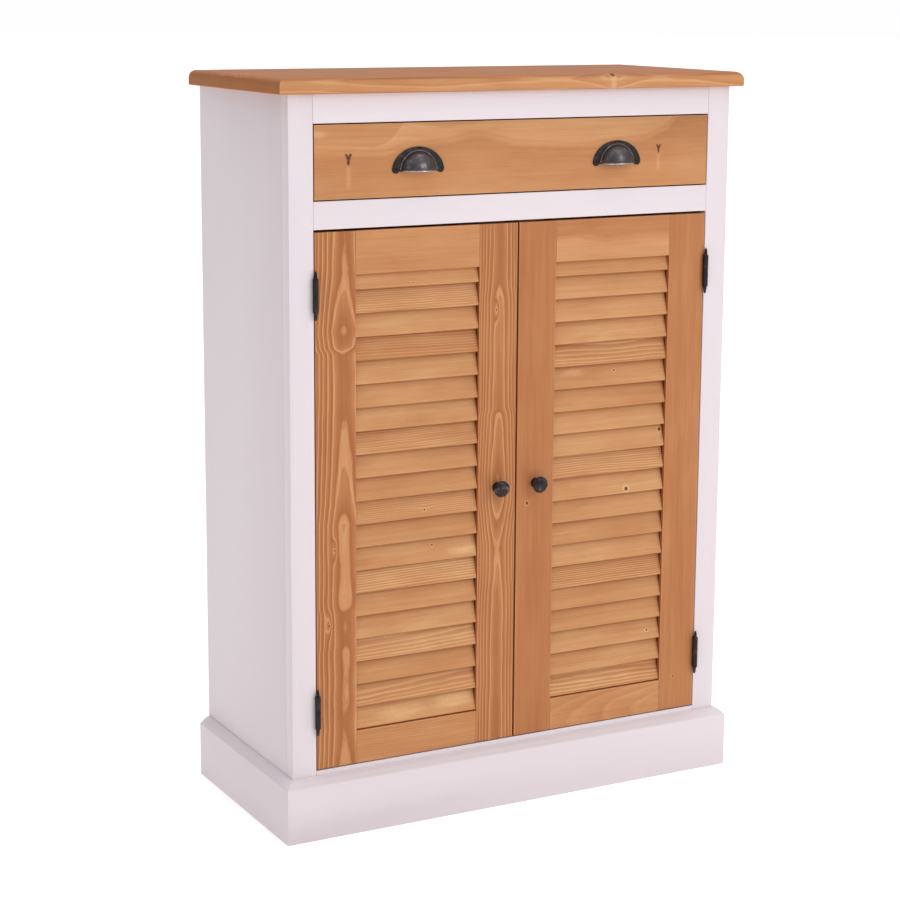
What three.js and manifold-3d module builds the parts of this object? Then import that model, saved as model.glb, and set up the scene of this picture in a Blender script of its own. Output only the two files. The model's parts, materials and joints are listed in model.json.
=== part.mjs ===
// A shoe cabinet: painted carcass and plinth, stained top, one inset drawer with two cup pulls, and two
// inset louvred doors on lift-off hinges. Millimetres, +Z up. Inside this file x runs to the right, y runs
// back from the front of the face frame, and z runs up from the floor. The last lines move the origin to
// the middle of the footprint.
import * as THREE from "three";
import Module from "manifold-3d";
import { mergeVertices } from "three/addons/utils/BufferGeometryUtils.js";

const wasm = await Module();
wasm.setup();

// ---- Driving dimensions ----------------------------------------------------------------------------

const FIT = 0.3; // gap between two pieces that touch
const SIDES = { left: -1, right: 1 };

// Overall
const bodyWidth = 800;
const bodyDepth = 352;
const bodyHeight = 1200;

// Top
const topThickness = 24;
const topSideOverhang = 19;
const topFrontOverhang = 14;
const topEdgeRadius = 12.5;
const topUndersideEase = 1.5;

// Carcass boards
const panelThickness = 18;
const housingDepth = 6; // how far the bottom and dust boards are let into the side panels
const backThickness = 8;
const backRebate = 10;
const backFloorGap = 12;

// Face frame
const frameThickness = 24;
const frameStileWidth = 41;
const topRailHeight = 44.5;
const middleRailHeight = 43;
const bottomRailHeight = 50;
const frameTenon = { length: 12, thickness: 8, shoulder: 6 };

// Plinth
const plinthHeight = 102;
const plinthThickness = 16.5;
const plinthFaceHeight = 92; // where the moulded top edge starts
const plinthArris = 2.6;
const bottomRailReveal = 7.5; // bottom rail showing above the plinth

// Drawer
const drawerOpeningHeight = 117.5;
const drawerReveal = 2;
const drawerFrontThickness = 20;
const drawerSideThickness = 12;
const drawerSideHeight = 96;
const drawerSideLength = 300;
const drawerBoxInset = 7; // drawer side to the edge of the opening
const drawerBottomThickness = 4;
const drawerBottomLift = 8;
const drawerGroove = 6;
const runnerLip = 20;
const runnerGuideHeight = 22;
const runnerClearance = 1;

// Doors
const doorThickness = 22;
const doorReveal = 2;
const doorTopReveal = 4;
const meetingGap = 3;
const doorStileWidth = 69;
const doorTopRailHeight = 67;
const doorBottomRailHeight = 54;
const doorGroove = 8; // depth and width of the groove that holds the rails' tenons and the louvres
const slatPitch = 37.3;
const slatWidth = 45;
const slatThickness = 7;
const slatTilt = THREE.MathUtils.degToRad(16.5);
const slatRecess = 2; // front of the door to the front of a slat's lower edge
const slatNose = 2;
const stripOverlap = 0.5;

// Door catches
const catchSize = new THREE.Vector3(46, 14, 16);
const strikeSize = new THREE.Vector3(30, 1.2, 14);
const strikeDrop = 1; // top of the door to the top of the strike plate

// Shelves
const shelfCount = 3;
const shelfThickness = 16;
const shelfSetback = 30;
const shelfSideGap = 1;
const shelfRearGap = 4;
const cleatWidth = 16;
const cleatHeight = 20;
const cleatInset = 10; // cleat end to the shelf's front and back edges

// Hinges
const hinge = {
  leafHeight: 53,
  leafDepth: 18, // into the gap, from the front of the frame
  leafThickness: 1.5,
  leafProud: 0.8, // of the wood it is let into
  barrelRadius: 4.5,
  pinRadius: 2.5,
  boreRadius: 2.8,
  finialHeight: 11.5,
  axisForward: 5, // in front of the frame
  fromDoorEnd: 96, // door's top or bottom edge to the middle of the hinge
};

// Knobs
const knob = { radius: 13.5, depth: 23, footRadius: 8.5, neckRadius: 6.2, headDepth: 6.5 };

// Cup pulls
const cup = {
  fromCentre: 181,
  aboveDrawerBottom: 39, // drawer front's lower edge to the cup's rim
  flangeHalfWidth: 45,
  flangeHeight: 37.5,
  flangeThickness: 2,
  earRadius: 6.2,
  earLift: 3.2, // rim to the middle of the ears
  domeHalfWidth: 31,
  domeHeight: 31,
  domeDepth: 22,
  wall: 1.8,
};

// ---- Levels and faces worked out from them ----------------------------------------------------------

const halfBody = bodyWidth / 2;
const halfOpening = halfBody - frameStileWidth;
const halfInside = halfBody - panelThickness;
const carcassTop = bodyHeight - topThickness;
const drawerOpeningTop = carcassTop - topRailHeight;
const drawerOpeningBottom = drawerOpeningTop - drawerOpeningHeight;
const doorOpeningTop = drawerOpeningBottom - middleRailHeight;
const doorOpeningBottom = plinthHeight + bottomRailReveal;
const backFace = bodyDepth - backThickness;
const dustBoardTop = drawerOpeningBottom - runnerLip - FIT;
const dustBoardBottom = dustBoardTop - panelThickness;

const doorTop = doorOpeningTop - doorTopReveal;
const doorBottom = doorOpeningBottom + doorReveal;
const doorHeight = doorTop - doorBottom;
const doorHingeEdge = halfOpening - doorReveal; // distance from the middle of the cabinet
const doorMeetingEdge = meetingGap / 2;
const louvreOuter = doorHingeEdge - doorStileWidth;
const louvreInner = doorMeetingEdge + doorStileWidth;
const louvreTop = doorTop - doorTopRailHeight;
const louvreBottom = doorBottom + doorBottomRailHeight;
const hingeAxis = halfOpening - doorReveal / 2;
const hingeLevels = {
  upper: doorTop - hinge.fromDoorEnd,
  lower: doorBottom + hinge.fromDoorEnd,
};
const knobLine = doorMeetingEdge + doorStileWidth / 2;
const strikeBack = doorThickness + FIT + strikeSize.y;
const frontmost = -FIT - Math.max(knob.depth, cup.domeDepth);

// ---- Finishes ----------------------------------------------------------------------------------------

const finish = (color, roughness, metalness = 0) =>
  new THREE.MeshStandardMaterial({ color, roughness, metalness });
const whitePaint = finish(0xe9e2e4, 0.55);
const stainedPine = finish(0xc98b5c, 0.5);
const paleWood = finish(0xd9bd93, 0.7);
const blackMetal = finish(0x2b2928, 0.45, 0.8);
const whitePlastic = finish(0xdedcd8, 0.5);
const zincPlate = finish(0xb8b8b6, 0.35, 0.9);

// ---- Solids ------------------------------------------------------------------------------------------

// A closed geometry as a manifold solid, for joining and cutting.
function solid(geometry) {
  const bare = geometry.clone();
  bare.deleteAttribute("normal");
  bare.deleteAttribute("uv");
  const merged = mergeVertices(bare, 1e-4);
  return new wasm.Manifold(
    new wasm.Mesh({
      numProp: 3,
      vertProperties: merged.attributes.position.array,
      triVerts: new Uint32Array(merged.index.array),
    }),
  );
}

function geometryOf(made) {
  const { numProp, vertProperties, triVerts } = made.getMesh();
  const positions = new Float32Array((vertProperties.length / numProp) * 3);
  for (let i = 0; i < positions.length / 3; i++) {
    positions.set(vertProperties.subarray(i * numProp, i * numProp + 3), i * 3);
  }
  const geometry = new THREE.BufferGeometry();
  geometry.setAttribute("position", new THREE.BufferAttribute(positions, 3));
  geometry.setIndex(new THREE.BufferAttribute(triVerts, 1));
  geometry.computeVertexNormals();
  return geometry;
}

const cut = (base, ...tools) =>
  geometryOf(tools.reduce((left, tool) => left.subtract(solid(tool)), solid(base)));
const join = (...pieces) => geometryOf(pieces.map(solid).reduce((a, b) => a.add(b)));
const overlap = (a, b) => geometryOf(solid(a).intersect(solid(b)));

// A box between two values on each axis, given in either order.
function block([x0, x1], [y0, y1], [z0, z1]) {
  const size = [x1 - x0, y1 - y0, z1 - z0].map(Math.abs);
  const box = new THREE.BoxGeometry(...size);
  return box.translate((x0 + x1) / 2, (y0 + y1) / 2, (z0 + z1) / 2);
}

// A closed outline in the y-z plane, as [y, z] points, run along x from x0 to x1.
function runAlongX(outline, x0, x1) {
  const shape = new THREE.Shape(outline.map(([y, z]) => new THREE.Vector2(y, z)));
  const made = new THREE.ExtrudeGeometry(shape, { depth: x1 - x0, bevelEnabled: false });
  // The extrusion runs along its own z, with the outline in x-y: turn that onto x, with y-z.
  made.applyMatrix4(new THREE.Matrix4().set(0, 0, 1, x0, 1, 0, 0, 0, 0, 1, 0, 0, 0, 0, 0, 1));
  return made;
}

// A closed outline in the x-z plane run along y from y0 to y1.
function runAlongY(shape, y0, y1, curveSegments = 8) {
  const made = new THREE.ExtrudeGeometry(shape, { depth: y1 - y0, bevelEnabled: false, curveSegments });
  made.rotateX(Math.PI / 2);
  return made.translate(0, y1, 0);
}

function arc(cx, cy, radius, from, to, steps) {
  return Array.from({ length: steps + 1 }, (_, i) => {
    const angle = THREE.MathUtils.degToRad(from + ((to - from) * i) / steps);
    return [cx + radius * Math.cos(angle), cy + radius * Math.sin(angle)];
  });
}

function turned(profile, segments) {
  return new THREE.LatheGeometry(profile.map(([r, y]) => new THREE.Vector2(r, y)), segments);
}

function mesh(name, geometry, material, position = [0, 0, 0]) {
  const made = new THREE.Mesh(geometry, material);
  made.name = name;
  made.position.set(...position);
  return made;
}

// ---- Carcass ------------------------------------------------------------------------------------------

// The top: a rounded upper edge on the front and both ends, square at the back.
function makeTop() {
  const halfWidth = halfBody + topSideOverhang;
  const bottom = carcassTop;
  const top = bodyHeight;
  const front = -topFrontOverhang;
  const radius = topEdgeRadius;
  const ease = topUndersideEase;
  const rightEnd = [
    [halfWidth - ease, bottom],
    [halfWidth, bottom + ease],
    ...arc(halfWidth - radius, top - radius, radius, 0, 90, 8),
  ];
  const leftEnd = rightEnd.map(([x, z]) => [-x, z]).reverse();
  const across = new THREE.Shape([...rightEnd, ...leftEnd].map(([x, z]) => new THREE.Vector2(x, z)));
  const frontToBack = [
    [bodyDepth, bottom],
    [bodyDepth, top],
    ...arc(front + radius, top - radius, radius, 90, 180, 8),
    [front, bottom + ease],
    [front + ease, bottom],
  ];
  const ends = runAlongY(across, front - 1, bodyDepth);
  const edge = runAlongX(frontToBack, -halfWidth - 1, halfWidth + 1);
  return mesh("top", overlap(ends, edge), stainedPine);
}

function makeSidePanel(side) {
  const s = SIDES[side];
  const board = block(
    [s * halfInside, s * halfBody],
    [frameThickness + FIT, bodyDepth],
    [0, carcassTop - FIT],
  );
  const housing = (bottom, top) =>
    block(
      [s * (halfInside - 1), s * (halfInside + housingDepth)],
      [frameThickness, backFace + 1],
      [bottom - FIT, top + FIT],
    );
  const rebate = block(
    [s * (halfInside - 1), s * (halfInside + backRebate)],
    [backFace - FIT, bodyDepth + 1],
    [-1, carcassTop + 1],
  );
  const geometry = cut(
    board,
    housing(doorOpeningBottom - panelThickness, doorOpeningBottom),
    housing(dustBoardBottom, dustBoardTop),
    rebate,
  );
  return mesh(`${side}_side_panel`, geometry, whitePaint);
}

// A board that is let into both side panels, with its upper face at the given level.
function makeHousedBoard(name, top, material) {
  const halfLength = halfInside + housingDepth - FIT;
  const board = block(
    [-halfLength, halfLength],
    [frameThickness + FIT, backFace - 2 * FIT],
    [top - panelThickness, top],
  );
  return mesh(name, board, material);
}

function makeBackPanel() {
  const halfLength = halfInside + backRebate - FIT;
  const board = block([-halfLength, halfLength], [backFace, bodyDepth], [backFloorGap, carcassTop - FIT]);
  return mesh("back_panel", board, whitePaint);
}

// The part of a frame rail that enters a stile, grown by a clearance where it is used to cut the mortise.
function frameTenonAt(s, bottom, top, clearance) {
  const { length, thickness, shoulder } = frameTenon;
  const middle = frameThickness / 2;
  return block(
    [s * (halfOpening - 1), s * (halfOpening + length + clearance)],
    [middle - thickness / 2 - clearance, middle + thickness / 2 + clearance],
    [bottom + shoulder - clearance, top - shoulder + clearance],
  );
}

const frameRails = {
  frame_top_rail: [drawerOpeningTop, carcassTop - FIT],
  frame_middle_rail: [doorOpeningTop, drawerOpeningBottom],
  frame_bottom_rail: [doorOpeningBottom - bottomRailHeight, doorOpeningBottom],
};

function makeFrameRail(name, [bottom, top]) {
  const halfLength = halfOpening - FIT;
  const rail = block([-halfLength, halfLength], [0, frameThickness], [bottom, top]);
  const tenons = [-1, 1].map((s) => frameTenonAt(s, bottom, top, 0));
  return mesh(name, join(rail, ...tenons), whitePaint);
}

function makeFrameStile(side) {
  const s = SIDES[side];
  const stile = block([s * halfOpening, s * halfBody], [0, frameThickness], [0, carcassTop - FIT]);
  const mortises = Object.values(frameRails).map(([bottom, top]) => frameTenonAt(s, bottom, top, FIT));
  const pockets = Object.values(hingeLevels).map((level) => leafPocket(s, halfOpening, 1, level));
  return mesh(`frame_${side}_stile`, cut(stile, ...mortises, ...pockets), whitePaint);
}

// The plinth's section: distance out from the carcass, and height.
function plinthSection() {
  const shoulder = plinthThickness - plinthArris;
  return [
    [FIT, 0],
    [plinthThickness, 0],
    [plinthThickness, plinthFaceHeight - plinthArris],
    ...arc(shoulder, plinthFaceHeight - plinthArris, plinthArris, 15, 60, 3),
    [shoulder * 0.72, plinthFaceHeight + (plinthHeight - plinthFaceHeight) * 0.47],
    [shoulder * 0.42, plinthFaceHeight + (plinthHeight - plinthFaceHeight) * 0.8],
    [FIT, plinthHeight],
  ];
}

// A plinth board of the given half length along x, at y = 0 facing -y. Each mitred end is longer at the
// face than at the back, by the distance out.
function plinthBoard(x0, x1, mitreStart, mitreEnd) {
  const outline = plinthSection().map(([out, z]) => [-out, z]);
  const board = runAlongX(outline.reverse(), x0, x1);
  const at = board.attributes.position;
  for (let i = 0; i < at.count; i++) {
    const out = -at.getY(i);
    if (mitreStart && at.getX(i) < (x0 + x1) / 2) at.setX(i, x0 - out + FIT / 2);
    else if (mitreEnd && at.getX(i) > (x0 + x1) / 2) at.setX(i, x1 + out - FIT / 2);
  }
  return board;
}

function makePlinth() {
  const front = mesh("plinth_front", plinthBoard(-halfBody, halfBody, true, true), whitePaint);
  const left = mesh("plinth_left", plinthBoard(-bodyDepth, 0, false, true), whitePaint);
  left.position.x = -halfBody;
  left.rotation.z = -Math.PI / 2;
  const right = mesh("plinth_right", plinthBoard(0, bodyDepth, true, false), whitePaint);
  right.position.x = halfBody;
  right.rotation.z = Math.PI / 2;
  return [front, left, right];
}

// ---- Shelves -------------------------------------------------------------------------------------------

function makeShelves() {
  const inside = dustBoardBottom - doorOpeningBottom;
  const space = (inside - shelfCount * shelfThickness) / (shelfCount + 1);
  const halfLength = halfInside - shelfSideGap;
  const depths = [shelfSetback, backFace - shelfRearGap];
  const made = [];
  for (let i = 1; i <= shelfCount; i++) {
    const bottom = doorOpeningBottom + i * space + (i - 1) * shelfThickness;
    const board = block([-halfLength, halfLength], depths, [bottom, bottom + shelfThickness]);
    made.push(mesh(`shelf_${i}`, board, paleWood));
    for (const [side, s] of Object.entries(SIDES)) {
      const cleat = block(
        [s * (halfInside - cleatWidth), s * (halfInside - FIT)],
        [depths[0] + cleatInset, depths[1] - cleatInset],
        [bottom - FIT - cleatHeight, bottom - FIT],
      );
      made.push(mesh(`shelf_${i}_${side}_cleat`, cleat, paleWood));
    }
  }
  return made;
}

// ---- Drawer --------------------------------------------------------------------------------------------

const drawer = (() => {
  const halfBox = halfOpening - drawerBoxInset;
  const sideBottom = drawerOpeningBottom + FIT;
  const boxFront = drawerFrontThickness + FIT;
  return {
    halfBox,
    halfFront: halfOpening - drawerReveal,
    frontBottom: drawerOpeningBottom + drawerReveal,
    frontTop: drawerOpeningTop - drawerReveal,
    halfInner: halfBox - drawerSideThickness,
    sideBottom,
    sideTop: sideBottom + drawerSideHeight,
    boxFront,
    boxBack: boxFront + drawerSideLength,
    grooveBottom: sideBottom + drawerBottomLift,
    grooveTop: sideBottom + drawerBottomLift + drawerBottomThickness + 2 * FIT,
  };
})();

// The L-shaped runner: a lip under the drawer side, a guide beside it and a stop block behind it.
function makeRunner(side) {
  const s = SIDES[side];
  const outer = s * (halfInside - FIT);
  const length = [frameThickness + FIT, backFace - 2 * FIT];
  const guideTop = drawerOpeningBottom + runnerGuideHeight;
  const lip = block(
    [outer, s * drawer.halfInner],
    length,
    [dustBoardTop + FIT, drawerOpeningBottom],
  );
  const guide = block(
    [outer, s * (drawer.halfBox + runnerClearance)],
    length,
    [dustBoardTop + FIT, guideTop],
  );
  const stop = block(
    [outer, s * drawer.halfInner],
    [drawer.boxBack + FIT, length[1]],
    [dustBoardTop + FIT, guideTop],
  );
  return mesh(`${side}_drawer_runner`, join(lip, guide, stop), paleWood);
}

function makeDrawer() {
  const { halfBox, halfInner, halfFront, sideBottom, sideTop, boxFront, boxBack } = drawer;
  const halfBottom = halfInner + drawerGroove;
  const groove = block(
    [-halfBottom - FIT, halfBottom + FIT],
    [drawerFrontThickness - drawerGroove, boxBack + 1],
    [drawer.grooveBottom, drawer.grooveTop],
  );
  const front = block(
    [-halfFront, halfFront],
    [0, drawerFrontThickness],
    [drawer.frontBottom, drawer.frontTop],
  );
  const bottomBoard = block(
    [-halfBottom, halfBottom],
    [drawerFrontThickness - drawerGroove + FIT, boxBack],
    [drawer.grooveBottom + FIT, drawer.grooveTop - FIT],
  );
  const back = block(
    [-halfInner + FIT, halfInner - FIT],
    [boxBack - drawerSideThickness, boxBack],
    [drawer.grooveTop, sideTop],
  );
  const group = new THREE.Group();
  group.add(mesh("drawer_front", cut(front, groove), stainedPine));
  for (const [side, s] of Object.entries(SIDES)) {
    const board = block([s * halfInner, s * halfBox], [boxFront, boxBack], [sideBottom, sideTop]);
    group.add(mesh(`drawer_${side}_side`, cut(board, groove), paleWood));
  }
  group.add(mesh("drawer_back", back, paleWood));
  group.add(mesh("drawer_bottom", bottomBoard, paleWood));
  for (const [side, s] of Object.entries(SIDES)) {
    const rim = drawer.frontBottom + cup.aboveDrawerBottom;
    group.add(mesh(`${side}_cup_pull`, cupPull(), blackMetal, [s * cup.fromCentre, -FIT, rim]));
  }
  return group;
}

// A cup pull with its rim on z = 0 and its back on y = 0: a domed shell on a flat arched flange with an
// ear at each end, open underneath.
function cupPull() {
  const { flangeHalfWidth, flangeHeight, flangeThickness, earRadius, earLift } = cup;
  const { domeHalfWidth, domeHeight, domeDepth, wall } = cup;
  const segments = [28, 20];
  const dome = new THREE.SphereGeometry(1, ...segments).scale(domeHalfWidth, domeDepth, domeHeight);
  const hollow = new THREE.SphereGeometry(1, ...segments).scale(
    domeHalfWidth - wall,
    domeDepth - wall,
    domeHeight - wall,
  );
  const front = block([-domeHalfWidth - 1, domeHalfWidth + 1], [-domeDepth - 1, 0], [0, domeHeight + 1]);
  const arch = new THREE.Shape();
  arch.absellipse(0, 0, flangeHalfWidth, flangeHeight, 0, Math.PI, false);
  const flange = runAlongY(arch, -flangeThickness, 0, 16);
  const ears = [-1, 1].map((s) => {
    const ear = new THREE.CylinderGeometry(earRadius, earRadius, flangeThickness, 20);
    return ear.translate(s * (flangeHalfWidth - earRadius), -flangeThickness / 2, earLift);
  });
  return cut(join(overlap(dome, front), flange, ...ears), hollow);
}

// ---- Doors ---------------------------------------------------------------------------------------------

// The pocket that a hinge leaf is let into, in the edge of a stile. It is cut into the wood on the outer
// side of the edge when outward is 1, and on the inner side when it is -1.
function leafPocket(s, edge, outward, level) {
  const depth = hinge.leafThickness - hinge.leafProud + FIT;
  const half = hinge.leafHeight / 2 + FIT;
  return block(
    [s * (edge - outward), s * (edge + outward * depth)],
    [-1, hinge.leafDepth + FIT],
    [level - half, level + half],
  );
}

// The tongue that runs in a door stile's groove: the rails' stub tenons, and the louvres' side strips.
function doorTongue(s, inner, outer, bottom, top, clearance = 0) {
  const middle = doorThickness / 2;
  const half = doorGroove / 2 + clearance;
  return block([s * inner, s * outer], [middle - half, middle + half], [bottom, top]);
}

function makeDoorStile(side, place) {
  const s = SIDES[side];
  const hinged = place === "hinge";
  const edges = hinged ? [louvreOuter, doorHingeEdge] : [doorMeetingEdge, louvreInner];
  const stile = block(edges.map((x) => s * x), [0, doorThickness], [doorBottom, doorTop]);
  const groove = hinged
    ? doorTongue(s, louvreOuter - 1, louvreOuter + doorGroove + FIT, doorBottom - 1, doorTop + 1, FIT)
    : doorTongue(s, louvreInner - doorGroove - FIT, louvreInner + 1, doorBottom - 1, doorTop + 1, FIT);
  const pockets = hinged
    ? Object.values(hingeLevels).map((level) => leafPocket(s, doorHingeEdge, -1, level))
    : [];
  return mesh(`${side}_door_${place}_stile`, cut(stile, groove, ...pockets), stainedPine);
}

function makeDoorRail(side, place) {
  const s = SIDES[side];
  const levels = place === "top" ? [louvreTop, doorTop] : [doorBottom, louvreBottom];
  const rail = block(
    [s * (louvreInner + FIT), s * (louvreOuter - FIT)],
    [0, doorThickness],
    levels,
  );
  const tongue = doorTongue(s, louvreInner - doorGroove, louvreOuter + doorGroove, ...levels);
  return mesh(`${side}_door_${place}_rail`, join(rail, tongue), stainedPine);
}

// One slat's section, as [y, z] points from the lower front edge, leaning back as it rises.
function slatSection() {
  const sharp = slatThickness - 1;
  const flat = [
    ...arc(slatNose, slatNose, slatNose, 270, 180, 3).reverse(),
    [slatThickness, 0],
    [slatThickness, slatWidth - 1],
    [sharp, slatWidth],
    [1, slatWidth],
    [0, slatWidth - 1],
  ];
  const lean = ([y, z]) => [
    y * Math.cos(slatTilt) + z * Math.sin(slatTilt),
    -y * Math.sin(slatTilt) + z * Math.cos(slatTilt),
  ];
  const leaned = flat.map(lean);
  const lowest = Math.min(...leaned.map(([, z]) => z));
  const foremost = Math.min(...leaned.map(([y]) => y));
  return leaned.map(([y, z]) => [y - foremost + slatRecess, z - lowest]);
}

// The slats of one door, housed at each end in a strip that runs in the stile's groove. The top slat is
// cut off under the top rail.
function makeLouvres(side) {
  const s = SIDES[side];
  const floor = louvreBottom + FIT;
  const ceiling = louvreTop - FIT;
  const ends = [s * (louvreInner + FIT), s * (louvreOuter - FIT)].sort((a, b) => a - b);
  const count = Math.floor((ceiling - floor) / slatPitch) + 1;
  const section = slatSection();
  const slats = Array.from({ length: count }, (_, i) =>
    runAlongX(section, ...ends).translate(0, 0, floor + i * slatPitch),
  );
  const innerStrip = [louvreInner - doorGroove, louvreInner + FIT + stripOverlap];
  const outerStrip = [louvreOuter - FIT - stripOverlap, louvreOuter + doorGroove];
  const strips = [innerStrip, outerStrip].map((x) => doorTongue(s, ...x, floor, ceiling));
  const above = block([ends[0] - 1, ends[1] + 1], [-1, doorThickness + 1], [ceiling, doorTop]);
  return mesh(`${side}_door_louvres`, cut(join(...slats, ...strips), above), stainedPine);
}

// A turned knob standing on y = 0 and reaching towards -y.
function makeKnob(side) {
  const { radius, depth, footRadius, neckRadius, headDepth } = knob;
  const rim = depth - headDepth;
  const profile = [
    [0, 0],
    [footRadius, 0],
    [footRadius, 1.8],
    [neckRadius + 1, 3.6],
    [neckRadius, 7],
    [neckRadius + 1.2, 11],
    [radius - 2.2, rim - 2.6],
    [radius, rim],
    [radius, rim + 1.6],
    [radius - 1.6, depth - 2.6],
    [radius - 5, depth - 0.8],
    [radius - 9.5, depth],
    [0, depth],
  ];
  const at = [SIDES[side] * knobLine, -FIT, (doorTop + doorBottom) / 2];
  const made = mesh(`${side}_door_knob`, turned(profile, 24), blackMetal, at);
  made.rotation.x = Math.PI;
  return made;
}

// ---- Hinges --------------------------------------------------------------------------------------------

// A turned finial's profile above a flat barrel end, as [radius, height] points.
function finialProfile() {
  const { barrelRadius, finialHeight } = hinge;
  return [
    [barrelRadius * 0.62, 0],
    [barrelRadius * 0.62, finialHeight * 0.16],
    [barrelRadius * 0.42, finialHeight * 0.24],
    [barrelRadius * 0.66, finialHeight * 0.42],
    [barrelRadius * 0.6, finialHeight * 0.58],
    [barrelRadius * 0.36, finialHeight * 0.7],
    [barrelRadius * 0.4, finialHeight * 0.85],
    [barrelRadius * 0.26, finialHeight],
    [0, finialHeight],
  ];
}

// One leaf with its knuckle, about the hinge's own axis at the origin and with z = 0 at mid height. The
// leaf lies beside the axis plane on the given side, and its knuckle fills one half of the height.
function hingeLeaf(s, outward, upper) {
  const { leafHeight, leafDepth, leafThickness, leafProud, barrelRadius, boreRadius } = hinge;
  const half = leafHeight / 2;
  const knuckle = upper ? [FIT / 2, half] : [-half, -FIT / 2];
  const gapSide = outward * (doorReveal / 2 - leafProud);
  const thickness = [s * gapSide, s * (gapSide + outward * leafThickness)];
  const behindBarrel = barrelRadius + FIT;
  const plate = block(thickness, [behindBarrel, hinge.axisForward + leafDepth], [-half, half]);
  const neck = block(thickness, [barrelRadius * 0.6, behindBarrel + 1], knuckle);
  const barrelHeight = knuckle[1] - knuckle[0];
  const middle = (knuckle[0] + knuckle[1]) / 2;
  const cylinder = (radius, height) =>
    new THREE.CylinderGeometry(radius, radius, height, 20).rotateX(Math.PI / 2).translate(0, 0, middle);
  const barrel = cylinder(barrelRadius, barrelHeight);
  return { leaf: join(plate, neck, barrel), bore: cylinder(boreRadius, barrelHeight + 2) };
}

// The frame leaf has a through bore, which the pin fills.
function frameLeaf(s) {
  const { leaf, bore } = hingeLeaf(s, 1, false);
  return cut(leaf, bore);
}

// The door leaf's bore is blind: a finial closes its upper end.
function doorLeaf(s) {
  const { leaf, bore } = hingeLeaf(s, -1, true);
  const capThickness = 3;
  const plugRadius = hinge.boreRadius + 1;
  const plug = [[0, -capThickness], [plugRadius, -capThickness], [plugRadius, 0]];
  const cap = turned([...plug, ...finialProfile()], 20);
  cap.rotateX(Math.PI / 2).translate(0, 0, hinge.leafHeight / 2);
  return geometryOf(solid(cut(leaf, bore)).add(solid(cap)));
}

// The pin stands in the frame leaf and carries the lower finial.
function hingePin() {
  const half = hinge.leafHeight / 2;
  const finial = finialProfile().map(([r, y]) => [r, -half - FIT - y]).reverse();
  const profile = [...finial, [hinge.pinRadius, -half - FIT], [hinge.pinRadius, half - 6], [0, half - 6]];
  return turned(profile, 20).rotateX(Math.PI / 2);
}

function hingeName(side, level) {
  return `${side}_${level}_hinge`;
}

function placeHinge(side, level, part, geometry) {
  const at = [SIDES[side] * hingeAxis, -hinge.axisForward, hingeLevels[level]];
  return mesh(`${hingeName(side, level)}_${part}`, geometry, blackMetal, at);
}

// ---- Door catches ---------------------------------------------------------------------------------------

// A magnetic catch under the dust board, and the strike plate on the back of the door that it holds.
function makeCatch(side) {
  const s = SIDES[side];
  const top = dustBoardBottom - FIT;
  const front = Math.max(frameThickness, strikeBack) + FIT;
  const body = block(
    [s * knobLine - catchSize.x / 2, s * knobLine + catchSize.x / 2],
    [front, front + catchSize.y],
    [top - catchSize.z, top],
  );
  return mesh(`${side}_door_catch`, body, whitePlastic);
}

function makeStrike(side) {
  const s = SIDES[side];
  const top = doorTop - strikeDrop;
  const plate = block(
    [s * knobLine - strikeSize.x / 2, s * knobLine + strikeSize.x / 2],
    [doorThickness + FIT, strikeBack],
    [top - strikeSize.z, top],
  );
  return mesh(`${side}_door_strike_plate`, plate, zincPlate);
}

// ---- Assembly -------------------------------------------------------------------------------------------

function makeCarcass() {
  const carcass = new THREE.Group();
  carcass.add(makeTop(), makeBackPanel(), ...makePlinth(), ...makeShelves());
  carcass.add(makeHousedBoard("bottom_board", doorOpeningBottom, whitePaint));
  carcass.add(makeHousedBoard("dust_board", dustBoardTop, paleWood));
  for (const [name, levels] of Object.entries(frameRails)) carcass.add(makeFrameRail(name, levels));
  for (const [side, s] of Object.entries(SIDES)) {
    carcass.add(makeSidePanel(side), makeFrameStile(side), makeRunner(side), makeCatch(side));
    for (const level of Object.keys(hingeLevels)) {
      carcass.add(placeHinge(side, level, "frame_leaf", frameLeaf(s)));
      carcass.add(placeHinge(side, level, "pin", hingePin()));
    }
  }
  return carcass;
}

function makeDoor(side) {
  const door = new THREE.Group();
  for (const place of ["hinge", "meeting"]) door.add(makeDoorStile(side, place));
  for (const place of ["top", "bottom"]) door.add(makeDoorRail(side, place));
  door.add(makeLouvres(side), makeKnob(side), makeStrike(side));
  for (const level of Object.keys(hingeLevels)) {
    door.add(placeHinge(side, level, "door_leaf", doorLeaf(SIDES[side])));
  }
  return door;
}

const cabinet = new THREE.Group();
cabinet.add(makeCarcass(), makeDrawer(), makeDoor("left"), makeDoor("right"));
cabinet.position.y = -(bodyDepth + frontmost) / 2;

export default cabinet;
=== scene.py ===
"""A shoe cabinet: painted carcass, stained pine top, drawer and louvred doors, black hardware.

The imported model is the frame. The boards keep their CAD nodes, with eased edges and a procedural material
each. The slats, cup pulls, knobs and hinges are rebuilt in finer detail in place of their CAD nodes.
Everything is in metres, +Z up, with the doors facing -Y.
"""

import json
import math
import random

import bmesh
import bpy
from mathutils import Matrix, Vector, geometry, noise


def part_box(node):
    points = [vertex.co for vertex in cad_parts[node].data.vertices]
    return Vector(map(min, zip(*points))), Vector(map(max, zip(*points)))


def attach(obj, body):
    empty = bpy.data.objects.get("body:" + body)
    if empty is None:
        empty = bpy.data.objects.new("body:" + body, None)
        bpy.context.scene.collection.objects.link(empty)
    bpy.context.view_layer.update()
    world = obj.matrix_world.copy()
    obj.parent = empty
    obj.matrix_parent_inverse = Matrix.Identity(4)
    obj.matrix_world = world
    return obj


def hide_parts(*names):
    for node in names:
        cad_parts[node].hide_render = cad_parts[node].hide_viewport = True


MM = 0.001
SIDES = {"left": -1, "right": 1}
LEVELS = ("upper", "lower")

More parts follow.
